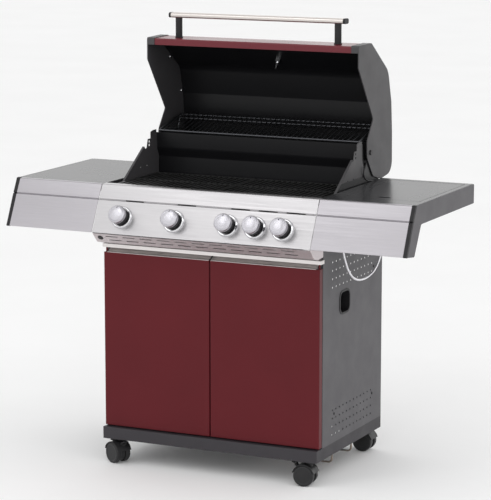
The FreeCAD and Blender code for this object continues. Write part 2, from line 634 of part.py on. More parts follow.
def knob(x):
    """Ribbed grip with a domed cap over it, bored for the valve's stem."""
    bore = STEM_R + RUNNING
    seat = STEM_END[1]
    profile = [(bore, KNOB_BACK), (KNOB_SKIRT_R, KNOB_BACK), (KNOB_SKIRT_R, 27.0), (KNOB_CAP_R - 0.8, 27.0),
               (KNOB_CAP_R, 28.5), (KNOB_CAP_R, 37.0), (26.0, 40.0), (23.0, 42.0), (16.0, 43.4), (8.0, 43.9), (0, KNOB_TOP),
               (0, seat), (bore, seat)]
    body = turned(profile, on_face(x, 0), FACE_NORMAL)
    ribs = 24
    for i in range(ribs):
        angle = 2 * math.pi * i / ribs
        out = V(math.cos(angle), 0, 0) - FACE_DOWN * math.sin(angle)
        start = on_face(x, KNOB_BACK - 1) + out * (KNOB_SKIRT_R + 0.4)
        body = body.cut(cylinder(start, start + FACE_NORMAL * 19.0, 1.2))
    return [body]


def drip_tray():
    """Grease tray that hangs by its rims under the firebox and draws out of the back."""
    (y0, y1), (z0, z1) = TRAY_Y, TRAY_Z
    rim = 16.0
    tray = joined(box(-TRAY_X, TRAY_X, y0, y1, z0, z1), box(-TRAY_X - rim, TRAY_X + rim, y0, y1, z1 - SHEET, z1))
    tray = tray.cut(box(SHEET - TRAY_X, TRAY_X - SHEET, y0 + SHEET, y1 - SHEET, z0 + SHEET, z1 + 1))
    grip = folded([(y1, z1 - 6), (y1 + 14, z1 - 6, 3), (y1 + 14, z1 - 18)], -SHEET, -60, 60)
    return [joined(tray, grip)]


def cooking_grate(side):
    """Cast grate with bars from front to back and one cross rib, for one half of the firebox."""
    (x0, x1), (y0, y1) = GRATE_X, GRATE_Y
    slots, rim, bar, rib = 18, 9.0, 8.0, 10.0
    pitch = (x1 - x0 - 2 * rim + bar) / slots
    middle = (y0 + y1) / 2
    holes = []
    for i in range(slots):
        u = x0 + rim + i * pitch
        for v0, v1 in ((y0 + rim, middle - rib / 2), (middle + rib / 2, y1 - rim)):
            holes.append(outline(rectangle(u, u + pitch - bar, v0, v1, 3), at_z(GRATE_Z[0])))
    depth = V(0, 0, GRATE_Z[1] - GRATE_Z[0])
    return on_side(side, plate(rectangle(x0, x1, y0, y1, 5), at_z(GRATE_Z[0]), depth, holes))


# ---------------------------------------------------------------- side burner
def side_burner():
    """Round burner with its gas pipe, and the two hinge brackets of its lid."""
    x, y = SIDE_BURNER
    floor = SHELF_TOP - WELL_DEPTH
    hose_x, hose_y, hose_z = HOSE_ROUTE[-1]
    pipe_z = floor - 14
    burner = joined(upright(x, y, floor - 24, floor + 8, 24.0), upright(x, y, floor + 8, floor + 14, 34.0),
                    cylinder((hose_x, hose_y, pipe_z), (x, y, pipe_z), 9.0),
                    Part.makeSphere(9.0, V(hose_x, hose_y, pipe_z)),
                    upright(hose_x, hose_y, hose_z + 1, pipe_z, 6.0))
    brackets = []
    pin_y, pin_z = SIDE_LID_PIN
    for x in SIDE_LID_KNUCKLES:
        pin = across_x(pin_y, pin_z, x - 20, x + 20, 2.0)
        cheeks = [box(x + offset, x + offset + 3, pin_y - 5, pin_y + 2.5, floor, pin_z + 2.5) for offset in (-18, 15)]
        brackets.append(joined(pin, *cheeks))
    return [burner] + brackets


def pan_support():
    """Wire trivet over the side burner: a ring, four feet and four fingers."""
    x, y = SIDE_BURNER
    floor, ring_r, wire, height = SHELF_TOP - WELL_DEPTH, 72.0, 2.8, 16.0
    trivet = Part.makeTorus(ring_r, wire, V(x, y, floor + height), V(0, 0, 1))
    for i in range(4):
        angle = math.radians(45 + 90 * i)
        ux, uy = math.cos(angle), math.sin(angle)
        far = (x + 96 * ux, y + 96 * uy)
        finger = cylinder((x + 40 * ux, y + 40 * uy, floor + height + 2), (*far, floor + height + 2), wire)
        trivet = trivet.fuse(finger).fuse(upright(*far, floor, floor + height + 2, wire))
        trivet = trivet.fuse(Part.makeSphere(wire, V(*far, floor + height + 2)))
    return [trivet.removeSplitter()]


def side_burner_lid():
    """Flat lid that lies flush in the right shelf, with a finger slot near its front edge."""
    x0, x1, y0, y1 = SIDE_LID
    under, skirt_z, skirt_back = SHELF_TOP - SHEET, SHELF_TOP - 9, y1 - 14
    slot = outline(rectangle(488, 528, -126, -114, 5), at_z(under))
    top = plate(rectangle(x0, x1, y0, y1, 3), at_z(under), V(0, 0, SHEET), [slot])
    skirt = box(x0 + 1, x1 - 1, y0 + 1, skirt_back, skirt_z, under)
    skirt = skirt.cut(box(x0 + 1 + SHEET, x1 - 1 - SHEET, y0 + 1 + SHEET, y1, skirt_z - 1, under))
    lid = joined(top, skirt)
    pin_y, pin_z = SIDE_LID_PIN
    for x in SIDE_LID_KNUCKLES:
        knuckle = across_x(pin_y, pin_z, x - 14, x + 14, 3.9).cut(box(x - 15, x + 15, pin_y - 9, pin_y + 9, under, under + 9))
        lid = lid.fuse(knuckle).cut(across_x(pin_y, pin_z, x - 15, x + 15, 2.0 + RUNNING))
    return [lid.removeSplitter()]


def side_burner_hose():
    """Braided hose that hangs in a loop beside the cabinet, from the gas rail to the side burner."""
    return [rod(HOSE_ROUTE, HOSE_D, lambda turn, shorter: 0.45 * shorter / math.tan(turn / 2))]


# ---------------------------------------------------------------- lid
def lid_ends():
    """Cast end caps: a flat side with a rim along its outer edge that frames the skins."""
    width, thick = CAP_RIM
    inside = LID_HALF - CAP_WALL
    cap = prism_x(LID_OUTER + LID_INNER, inside, LID_HALF)
    start_y, top_z, _ = LID_OUTER[1]
    end_y, end_z, _ = LID_OUTER[-1]
    rim_path = [(start_y, top_z - SKIN_INSET - LINER_GAP)] + LID_OUTER[1:-1] + [(end_y + 9, end_z + 1.2)]
    cap = joined(cap, folded(rim_path, -thick, LID_HALF - width, inside))
    cap = cap.cut(across_x(*LID_HINGE, inside - 1, LID_HALF + 1, LID_BOLT_R + RUNNING))
    cap = cap.cut(across_x(*RACK_PIVOT, inside - 1, LID_HALF - RACK_SKIN, RACK_ROD_R + RUNNING))
    return pair(cap)


def skin_path():
    """The outer skin's line, just inside the caps' outline, from its front edge over the top to its rear edge."""
    skin = shifted(LID_OUTER[1:], -SKIN_INSET)
    front = (LID_OUTER[1][0] + SKIN_INSET, skin[0][1], 4)
    return [front] + skin[1:]


def thermometer_line():
    """Foot on the skin, and unit normal, of the thermometer's hole."""
    a, b = V(0, *LID_OUTER[2][:2]), V(0, *LID_OUTER[3][:2])
    along = (b - a).normalize()
    normal = V(0, -along.z, along.y)
    return a + along * THERMOMETER_AT - normal * SKIN_INSET + V(THERMOMETER_X, 0, 0), normal


def lid_shell():
    """Outer skin, turned in at its front and rear edges."""
    path = skin_path()
    half = LID_HALF - CAP_RIM[0]
    front = (path[0][0], path[0][1] - LINER_GAP)
    last, before = path[-1], path[-2]
    length = math.dist(last[:2], before[:2])
    inward = ((last[1] - before[1]) / length, (before[0] - last[0]) / length)
    rear = (last[0] + inward[0] * 16, last[1] + inward[1] * 16)
    shell = folded([front] + path[:-1] + [(last[0], last[1], 3), rear], -SHEET, -half, half)
    foot, normal = thermometer_line()
    return [shell.cut(cylinder(foot - normal * 5, foot + normal * 5, 5.0))]


def lid_liner():
    """Inner skin, one gap inside the shell, that spans from cap to cap."""
    path = shifted(skin_path(), -LINER_GAP)
    half = LID_HALF - CAP_WALL
    front = (LID_OUTER[1][0] + SKIN_INSET + SHEET + 0.5, path[0][1])
    middle = [(y, z, max(radius, 4)) for y, z, radius in path[1:-1]]
    liner = folded([front] + middle + [path[-1]], SHEET, -half, half)
    foot, normal = thermometer_line()
    return [liner.cut(cylinder(foot - normal * 30, foot, 5.0))]


def thermometer():
    """Dial outside the lid, a stem through both skins and a nut inside."""
    foot, normal = thermometer_line()
    dial = [(0, 0), (26, 0), (THERMOMETER_R, 3), (THERMOMETER_R, 8), (28, 10.5), (26, 10.5), (26, 9), (0, 9)]
    case = turned(dial, foot, normal)
    stem = cylinder(foot - normal * 50, foot + normal * 1, 3.0)
    nut = cylinder(foot - normal * (LINER_GAP + 8), foot - normal * LINER_GAP, 9.0)
    return [joined(case, stem, nut)]


def handle_mounts():
    """Two posts that hold the handle off the lid, and the plugs in the bar's ends."""
    middle = sum(HANDLE_Y) / 2
    skin = skin_path()
    slope = (skin[1][1] - skin[0][1]) / (skin[1][0] - skin[0][0])
    foot = skin[0][1] + slope * (middle + 12 - skin[0][0])
    post = joined(upright(HANDLE_POST_X, middle, foot, HANDLE_Z[0], 10.5), upright(HANDLE_POST_X, middle, foot, foot + 3, 12.0))
    plug = prism_x(rectangle(*HANDLE_Y, *HANDLE_Z, 7.0), HANDLE_HALF - HANDLE_PLUG, HANDLE_HALF)
    return pair(post) + pair(plug)


def handle_bar():
    end = HANDLE_HALF - HANDLE_PLUG
    return [prism_x(rectangle(*HANDLE_Y, *HANDLE_Z, 7.0), -end, end)]


def warming_rack():
    """Wire shelf on two side arms that turn in the lid's ends."""
    pieces = [across_x(y, z, -RACK_HALF, RACK_HALF, RACK_ROD_R) for y, z in (RACK_FRONT, RACK_REAR, RACK_BACKSTOP)]
    for side in (-1, 1):
        x = side * RACK_HALF
        corners = [V(x, *at) for at in (RACK_FRONT, RACK_REAR, RACK_BACKSTOP, RACK_PIVOT)]
        front, rear, backstop, pivot = corners
        pieces += [Part.makeSphere(RACK_ROD_R, corner) for corner in corners]
        pieces += [cylinder(a, b, RACK_ROD_R) for a, b in ((front, rear), (front, pivot), (rear, pivot))]
        pieces.append(cylinder(pivot, V(side * (LID_HALF - RACK_SKIN - 0.2), *RACK_PIVOT), RACK_ROD_R))
    frame = joined(*pieces)
    along = (V(0, *RACK_REAR) - V(0, *RACK_FRONT)).normalize()
    above = V(0, -along.z, along.y) * (RACK_ROD_R + RACK_WIRE_R)
    wires = []
    for i in range(RACK_WIRES):
        x = RACK_HALF * (2 * (i + 1) / (RACK_WIRES + 1) - 1)
        start = V(x, *RACK_FRONT) + above - along * 2
        wires.append(cylinder(start, V(x, *RACK_REAR) + above + along * 2, RACK_WIRE_R))
    return [frame] + wires


def fasteners():
    """The lid's hinge bolts with their nuts, and the dome-headed screws in the side panels."""
    y, z = LID_HINGE
    inside, outside = FIREBOX_HALF, LID_HALF + 0.3
    bolt = joined(across_x(y, z, inside - 6, outside + 3, LID_BOLT_R), across_x(y, z, outside, outside + 3, 7.5),
                  across_x(y, z, inside - 5, inside, 7.0))
    screws = []
    for screw_y, screw_z in PANEL_SCREWS:
        head = [(0, 0), (4.2, 0), (4.0, 1.0), (2.6, 2.0), (0, 2.4)]
        screws += pair(turned(head, V(CABINET_HALF, screw_y, screw_z), V(1, 0, 0)))
    return pair(bolt) + screws


# ---------------------------------------------------------------- casters, drawn trailing towards +X
def in_place(shape, name):
    side, end, angle, _ = CASTERS[name]
    shape = shape.copy()
    shape.rotate(V(0, 0, 0), V(0, 0, 1), angle)
    shape.translate(V(side * CASTER_XY[0], end * CASTER_XY[1], 0))
    return [shape]


def about_axle(y0, y1, radius):
    return cylinder((CASTER_TRAIL, y0, WHEEL_R), (CASTER_TRAIL, y1, WHEEL_R), radius)


def caster_housing(name):
    """Hood over both wheels on a middle web, with the swivel's flange and stem."""
    hood_low = WHEEL_R + 9.0
    over = box(-60, 90, -30, 30, hood_low, 90)
    outer = WHEEL_Y[1]
    hood = about_axle(-outer, outer, HOOD_R[1]).cut(about_axle(-outer - 1, outer + 1, HOOD_R[0])).common(over)
    web = about_axle(-7, 7, 27.0).fuse(about_axle(-7, 7, HOOD_R[0] + 1).common(over))
    boss = upright(0, 0, hood_low, BASE_BOTTOM - 2, 7.0)
    flange = upright(0, 0, BASE_BOTTOM - 6.5, BASE_BOTTOM - 0.2, 14.0)
    stem = upright(0, 0, BASE_BOTTOM - 3, BASE_TOP - 5, CASTER_STEM_R)
    housing = hood.fuse(web).fuse(boss).fuse(flange).fuse(stem)
    if CASTERS[name][3]:
        pivot_x, pivot_z = BRAKE_PIVOT
        ear = cylinder((pivot_x, -5.5, pivot_z), (pivot_x, 5.5, pivot_z), 4.0)
        root = prism_y([(pivot_x - 4, pivot_z), (pivot_x - 12, pivot_z - 8), (pivot_x - 4, pivot_z - 14), (pivot_x + 4, pivot_z)],
                       -5.5, 5.5).cut(about_axle(-9, 9, HOOD_R[0] + 0.5))
        housing = housing.fuse(ear).fuse(root)
        housing = housing.cut(cylinder((pivot_x, -9, pivot_z), (pivot_x, 9, pivot_z), BRAKE_PIN_R + RUNNING))
    return in_place(housing.cut(about_axle(-9, 9, AXLE_R + RUNNING)).removeSplitter(), name)


def caster_wheels(name):
    """Two discs on one axle, with a rounded tread and a shallow dish in each outer face."""
    inner, outer = WHEEL_Y
    edge = WHEEL_R
    half = [(AXLE_R, inner), (edge - 1.5, inner), (edge, inner + 2.5), (edge, outer - 3.5), (edge - 1, outer - 1),
            (edge - 4, outer), (edge - 7.5, outer), (edge - 9, outer - 1), (0, outer - 1)]
    profile = [(r, -y) for r, y in half[::-1]] + half
    wheels = turned(profile, V(0, 0, 0), V(0, 0, 1))
    wheels.rotate(V(0, 0, 0), V(1, 0, 0), 90)
    wheels.translate(V(CASTER_TRAIL, 0, WHEEL_R))
    return in_place(wheels, name)


def caster_brake(name):
    """Foot lever: two cheeks on a pin, joined by a pad that rises away from the hood."""
    x, z = BRAKE_PIVOT
    inner, outer = 6.5, 9.0
    arm = [(x - 2.8, z - 2.2, 1), (x + 2.6, z - 2.8, 1), (x + 5.2, z + 4.8), (x + 2.4, z + 7.2), (x - 1.8, z + 3.4, 1)]
    cheeks = [prism_y(arm, inner, outer), prism_y(arm, -outer, -inner)]
    pad = prism_y([(x + 4.7, z + 4.3), (x + 13.5, z + 7.5, 1), (x + 12.6, z + 10.2, 1), (x + 2.2, z + 7.0)], -outer, outer)
    pin = cylinder((x, -outer, z), (x, outer, z), BRAKE_PIN_R)
    return in_place(joined(*cheeks, pad, pin), name)


# ---------------------------------------------------------------- all nodes
def nodes():
    made = {
        "base_tray": base_tray(),
        "bottle_cradle": bottle_cradle(),
        "side_panels": side_panels(),
        "plastic_inserts": plastic_inserts(),
        "rear_panel": rear_panel(),
        "front_crossbar": front_crossbar(),
        "door_left": door(-1),
        "door_right": door(1),
        "door_strip_left": door_strip(-1),
        "door_strip_right": door_strip(1),
        "control_panel": control_panel(),
        "vent_strip": vent_strip(),
        "shelf_fronts": shelf_fronts(),
        "shelf_trims": shelf_trims(),
        "shelf_ends": shelf_ends(),
        "shelf_top_left": shelf_top(-1),
        "shelf_top_right": shelf_top(1),
        "firebox": firebox(),
        "firebox_sides": firebox_sides(),
        "inner_rails": inner_rails(),
        "burners": burners(),
        "flame_tamers": flame_tamers(),
        "gas_manifold": gas_manifold(),
        "gas_valves": gas_valves(),
        "knob_bezels": knob_bezels(),
        "drip_tray": drip_tray(),
        "cooking_grate_left": cooking_grate(-1),
        "cooking_grate_right": cooking_grate(1),
        "side_burner": side_burner(),
        "pan_support": pan_support(),
        "side_burner_lid": side_burner_lid(),
        "side_burner_hose": side_burner_hose(),
        "lid_ends": lid_ends(),
        "lid_shell": lid_shell(),
        "lid_liner": lid_liner(),
        "thermometer": thermometer(),
        "handle_mounts": handle_mounts(),
        "handle_bar": handle_bar(),
        "warming_rack": warming_rack(),
        "fasteners": fasteners(),
    }
    for i, x in enumerate(KNOB_X):
        made[f"valve_stem_{i + 1}"] = valve_stem(x)
        made[f"knob_{i + 1}"] = knob(x)
    for name, (_, _, _, braked) in CASTERS.items():
        made[f"caster_{name}"] = caster_housing(name)
        made[f"wheels_{name}"] = caster_wheels(name)
        if braked:
            made[f"brake_{name}"] = caster_brake(name)
    return made


def main():
    os.makedirs("parts", exist_ok=True)
    for name, solids in nodes().items():
        Part.makeCompound(solids).exportStep(f"parts/{name}.step")


if __name__ == "__main__":
    main()
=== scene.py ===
import json
import math

import bpy
from mathutils import Matrix, Vector


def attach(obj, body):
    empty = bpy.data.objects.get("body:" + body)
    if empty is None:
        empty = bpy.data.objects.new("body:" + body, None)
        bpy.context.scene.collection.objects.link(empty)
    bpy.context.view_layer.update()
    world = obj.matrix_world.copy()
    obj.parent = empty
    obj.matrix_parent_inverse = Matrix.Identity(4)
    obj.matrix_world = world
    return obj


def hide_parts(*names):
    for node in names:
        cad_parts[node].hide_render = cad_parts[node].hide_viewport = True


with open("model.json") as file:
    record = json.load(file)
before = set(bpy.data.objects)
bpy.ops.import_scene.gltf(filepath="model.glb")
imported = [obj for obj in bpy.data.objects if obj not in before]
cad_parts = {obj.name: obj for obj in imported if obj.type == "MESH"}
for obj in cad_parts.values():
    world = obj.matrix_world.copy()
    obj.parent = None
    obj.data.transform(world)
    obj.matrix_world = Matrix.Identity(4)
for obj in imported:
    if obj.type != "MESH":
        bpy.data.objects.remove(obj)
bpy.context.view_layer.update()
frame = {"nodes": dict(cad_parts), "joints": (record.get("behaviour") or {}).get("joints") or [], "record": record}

NODES = frame["nodes"]
JOINTS = {j["name"]: j for j in frame["joints"]}
FACE_OUT = Vector(JOINTS["knob_1_turn"]["axis"]).normalized()      # out of the control panel

# ---------------------------------------------------------------- camera
AZIMUTH, ELEVATION = math.radians(25.5), math.radians(10.0)
DISTANCE = 7.2984
TARGET = Vector((0.0081, 0.0, 0.6412))
LENS, SENSOR = 173.7, 36.0       # both in millimetres


def outward(azimuth, elevation):
    """Direction from the object to a place round it. Azimuth 0 is the front and grows to the user's right."""
    return Vector((math.sin(azimuth) * math.cos(elevation), -math.cos(azimuth) * math.cos(elevation),
                   math.sin(elevation)))


def put(obj):
    """Shows an object in the scene."""
    bpy.context.scene.collection.objects.link(obj)
    return obj


def aim(obj, toward, target, distance):
    """Places a camera or light in that direction from the target, and turns it to face the target."""
    obj.location = target + toward * distance
    obj.rotation_euler = toward.to_track_quat("Z", "Y").to_euler()


camera_data = bpy.data.cameras.new("camera")
camera_data.sensor_width = SENSOR
camera_data.lens = LENS
camera_data.clip_end = 60.0
camera = put(bpy.data.objects.new("camera", camera_data))
aim(camera, outward(AZIMUTH, ELEVATION), TARGET, DISTANCE)
bpy.context.scene.camera = camera
bpy.context.scene.view_settings.view_transform = "Standard"

# ---------------------------------------------------------------- hose
HOSE_DIAMETER, HOSE_LENGTH = 0.0065, 0.432
HOSE_ROUTE = [(.378, -.128, .722), (.379, -.121, .690), (.381, -.107, .655), (.384, -.090, .622),
              (.389, -.066, .596), (.396, -.034, .585), (.404, .002, .587), (.413, .033, .600),
              (.421, .054, .628), (.428, .062, .664), (.434, .064, .702), (.438, .063, .740),
              (.440, .062, .775)]

hose_curve = bpy.data.curves.new("hose", "CURVE")
hose_curve.dimensions = "3D"
hose_curve.bevel_resolution = 6
hose_curve.resolution_u = 16
hose_curve.use_fill_caps = True
spline = hose_curve.splines.new("NURBS")
spline.points.add(len(HOSE_ROUTE) - 1)
for point, at in zip(spline.points, HOSE_ROUTE):
    point.co = (*at, 1.0)
spline.order_u = 3
spline.use_endpoint_u = True
hose_path = put(bpy.data.objects.new("hose_path", hose_curve))


def swept(bevel):
    """The hose's curve as a mesh: a bare line without a bevel, a tube with one."""
    hose_curve.bevel_depth = bevel
    shown = hose_path.evaluated_get(bpy.context.evaluated_depsgraph_get())
    return bpy.data.meshes.new_from_object(shown)


hose_line = [tuple(vertex.co) for vertex in swept(0.0).vertices]
hose_mesh = swept(HOSE_DIAMETER / 2)
bpy.data.objects.remove(hose_path)
hose_mesh.shade_smooth()
hose = put(bpy.data.objects.new("hose", hose_mesh))
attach(hose, "cart")
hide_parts("side_burner_hose")


# ---------------------------------------------------------------- materials
NOISE_SPREAD = (0.3, 0.7)        # the part of a noise's 0 to 1 that carries nearly all of it


def map_range(tree, from_min, from_max, to_min, to_max):
    """A node that maps one range of numbers to another."""
    node = tree.nodes.new("ShaderNodeMapRange")
    ends = {"From Min": from_min, "From Max": from_max, "To Min": to_min, "To Max": to_max}
    for socket, number in ends.items():
        node.inputs[socket].default_value = number
    return node


class Shader:
    """A node material built around one Principled BSDF, with object coordinates in metres."""

    def __init__(self, name, colour, roughness, metallic=0.0, **sockets):
        self.material = bpy.data.materials.new(name)
        self.material.use_nodes = True
        self.tree = self.material.node_tree
        self.principled = self.tree.nodes["Principled BSDF"]
        self.principled.inputs["Base Color"].default_value = (*colour, 1)
        self.principled.inputs["Roughness"].default_value = roughness
        self.principled.inputs["Metallic"].default_value = metallic
        for socket, value in sockets.items():
            self.principled.inputs[socket.replace("_", " ")].default_value = value
        self.coordinates = self.tree.nodes.new("ShaderNodeTexCoord").outputs["Object"]
        self.normal = None

    def node(self, kind, **values):
        made = self.tree.nodes.new(kind)
        for key, value in values.items():
            if key in made.inputs:
                made.inputs[key].default_value = value
            else:
                setattr(made, key, value)
        return made

    def link(self, output, node, socket):
        self.tree.links.new(output, node.inputs[socket])

    def noise(self, scale, detail=3.0, stretch=(1, 1, 1), roughness=0.55, distortion=0.0):
        """Noise of that scale per metre, drawn out along an axis where stretch is small."""
        mapping = self.node("ShaderNodeMapping")
        mapping.inputs["Scale"].default_value = stretch
        self.link(self.coordinates, mapping, "Vector")
        noise = self.node("ShaderNodeTexNoise", Scale=scale, Detail=detail, Roughness=roughness,
                          Distortion=distortion)
        self.link(mapping.outputs["Vector"], noise, "Vector")
        return noise.outputs["Fac"]

    def vary_colour(self, value, dark, light):
        ramp = self.node("ShaderNodeValToRGB")
        for element, position, colour in zip(ramp.color_ramp.elements, NOISE_SPREAD, (dark, light)):
            element.position = position
            element.color = (*colour, 1)
        self.link(value, ramp, "Fac")
        self.link(ramp.outputs["Color"], self.principled, "Base Color")

    def vary_roughness(self, value, low, high):
        spread = map_range(self.tree, *NOISE_SPREAD, low, high)
        self.link(value, spread, "Value")
        self.link(spread.outputs["Result"], self.principled, "Roughness")

    def bump(self, value, depth, strength=1.0):
        """Relief of that depth in metres, over any relief that the material already has."""
        bump = self.node("ShaderNodeBump", Strength=strength, Distance=depth)
        self.link(value, bump, "Height")
        if self.normal is not None:
            self.link(self.normal, bump, "Normal")
        self.normal = bump.outputs["Normal"]
        self.link(self.normal, self.principled, "Normal")

    def soft_edges(self, radius):
        """Shades sharp edges as if they were rounded."""
        bevel = self.node("ShaderNodeBevel", samples=4, Radius=radius)
        self.normal = bevel.outputs["Normal"]
        self.link(self.normal, self.principled, "Normal")


def shade(colour, factor):
    return tuple(min(1.0, c * factor) for c in colour)


def powder_coat(name, colour, roughness=0.5, grain=900.0, specular=0.35):
    """Satin coat with a fine pebbled grain and faint cloudy variation."""
    s = Shader(name, colour, roughness, Specular_IOR_Level=specular)
    s.soft_edges(0.0009)
    s.vary_colour(s.noise(5.0, 3.0), shade(colour, 0.95), shade(colour, 1.05))
    s.vary_roughness(s.noise(14.0, 4.0), roughness - 0.06, roughness + 0.06)
    s.bump(s.noise(grain, 2.0), 0.00008, 0.35)
    return s.material


def gloss_enamel(name, colour, roughness, peel=0.00002, specular=0.3, cloud=0.05):
    """Smooth enamel with a faint orange peel. Cloud is how uneven its colour and sheen are."""
    s = Shader(name, colour, roughness, Specular_IOR_Level=specular)
    s.soft_edges(0.0008)
    s.vary_colour(s.noise(4.0, 3.0), shade(colour, 1 - cloud), shade(colour, 1 + cloud))
    s.vary_roughness(s.noise(7.0, 3.0), roughness - cloud * 0.4, roughness + cloud * 0.6)
    s.bump(s.noise(320.0, 1.0), peel, 0.3)
    return s.material


def brushed(name, colour, roughness):
    """Metal ground along X: fine streaks in colour, gloss and relief."""
    s = Shader(name, colour, roughness, 1.0, Anisotropic=0.4)
    s.soft_edges(0.0007)
    along_x = (0.012, 1, 1)
    streaks = s.noise(1500.0, 2.0, along_x)
    s.vary_colour(streaks, shade(colour, 0.94), shade(colour, 1.05))
    s.vary_roughness(s.noise(300.0, 2.0, along_x), roughness - 0.05, roughness + 0.07)
    s.bump(streaks, 0.00002, 0.3)
    return s.material


def polished(name, colour, roughness=0.09):
    """Plated metal with faint haze and hairline scratches."""
    s = Shader(name, colour, roughness, 1.0)
    s.soft_edges(0.0005)
    s.vary_colour(s.noise(30.0, 3.0), shade(colour, 0.93), shade(colour, 1.04))
    s.vary_roughness(s.noise(60.0, 4.0), roughness - 0.03, roughness + 0.07)
    s.bump(s.noise(900.0, 2.0), 0.00001, 0.25)
    return s.material


def moulded(name, colour, roughness=0.5, grain=1300.0):
    """Moulded plastic with a fine leathery grain."""
    s = Shader(name, colour, roughness, Specular_IOR_Level=0.35)
    s.soft_edges(0.0008)
    s.vary_colour(s.noise(25.0, 4.0), shade(colour, 0.88), shade(colour, 1.12))
    s.vary_roughness(s.noise(40.0, 4.0), roughness - 0.08, roughness + 0.08)
    s.bump(s.noise(grain, 3.0, roughness=0.7), 0.0001, 0.4)
    return s.material


def cast_iron(name, colour):
    """Matt enamelled casting with a pitted skin and oily patches."""
    s = Shader(name, colour, 0.5, Specular_IOR_Level=0.35, Coat_Weight=0.15, Coat_Roughness=0.3)
    s.soft_edges(0.0014)
    s.vary_colour(s.noise(35.0, 5.0), shade(colour, 0.7), shade(colour, 1.5))
    s.vary_roughness(s.noise(22.0, 5.0), 0.3, 0.62)
    s.bump(s.noise(420.0, 4.0, roughness=0.7), 0.0004, 0.5)
    return s.material


def dull_steel(name, colour, heat=(0.30, 0.22, 0.16)):
    """Bare sheet dulled by heat, with brown bloom."""
    s = Shader(name, colour, 0.4, 1.0)
    s.soft_edges(0.0007)
    s.vary_colour(s.noise(8.0, 6.0, distortion=0.6), heat, colour)
    s.vary_roughness(s.noise(30.0, 5.0), 0.3, 0.55)
    s.bump(s.noise(700.0, 3.0, (1, 0.05, 1)), 0.00005, 0.5)
    return s.material


def braided(name, colour):
    """Woven metal sleeve: two crossing sets of diagonal strands, with painted shade in the grooves between them.
    """
    s = Shader(name, colour, 0.32, 0.85)
    relief = None
    for tilt in (0.9, -0.9):
        mapping = s.node("ShaderNodeMapping")
        mapping.inputs["Rotation"].default_value = (tilt, 0.25, tilt)
        s.link(s.coordinates, mapping, "Vector")
        wave = s.node("ShaderNodeTexWave", Scale=260.0, Distortion=0.3)
        s.link(mapping.outputs["Vector"], wave, "Vector")
        if relief is None:
            relief = wave.outputs["Fac"]
        else:
            both = s.node("ShaderNodeMath", operation="MAXIMUM")
            s.tree.links.new(relief, both.inputs[0])
            s.tree.links.new(wave.outputs["Fac"], both.inputs[1])
            relief = both.outputs["Value"]
    # Painted shade: the grooves between the strands are darker and the crests lighter
    s.vary_colour(relief, shade(colour, 0.62), shade(colour, 1.15))
    s.bump(relief, 0.0003, 0.7)
    return s.material


def spun(name, colour, centre, roughness=0.24):
    """Metal turned on a lathe about the panel's normal through centre.
    It has fine rings, and a sheen that runs round the axis."""
    s = Shader(name, colour, roughness, 1.0, Anisotropic=0.75)
    mapping = s.node("ShaderNodeMapping", vector_type="POINT")
    turn = FACE_OUT.rotation_difference(Vector((0, 0, 1)))
    mapping.inputs["Rotation"].default_value = turn.to_euler()
    mapping.inputs["Location"].default_value = -(turn @ centre)
    s.link(s.coordinates, mapping, "Vector")
    flat = s.node("ShaderNodeVectorMath", operation="MULTIPLY")
    flat.inputs[1].default_value = (1, 1, 0)
    s.link(mapping.outputs["Vector"], flat, 0)
    length = s.node("ShaderNodeVectorMath", operation="LENGTH")
    s.link(flat.outputs["Vector"], length, 0)
    rings = s.node("ShaderNodeTexNoise", noise_dimensions="1D", Scale=1500.0, Detail=1.0)
    s.link(length.outputs["Value"], rings, "W")
    s.vary_colour(rings.outputs["Fac"], shade(colour, 0.84), shade(colour, 1.06))
    s.vary_roughness(rings.outputs["Fac"], roughness - 0.05, roughness + 0.08)
    s.bump(rings.outputs["Fac"], 0.00012, 0.8)
    spoke = s.node("ShaderNodeVectorMath", operation="SUBTRACT")
    spoke.inputs[1].default_value = centre
    s.link(s.coordinates, spoke, 0)
    round_axis = s.node("ShaderNodeVectorMath", operation="CROSS_PRODUCT")
    round_axis.inputs[1].default_value = FACE_OUT
    s.link(spoke.outputs["Vector"], round_axis, 0)
    s.link(round_axis.outputs["Vector"], s.principled, "Tangent")
    return s.material


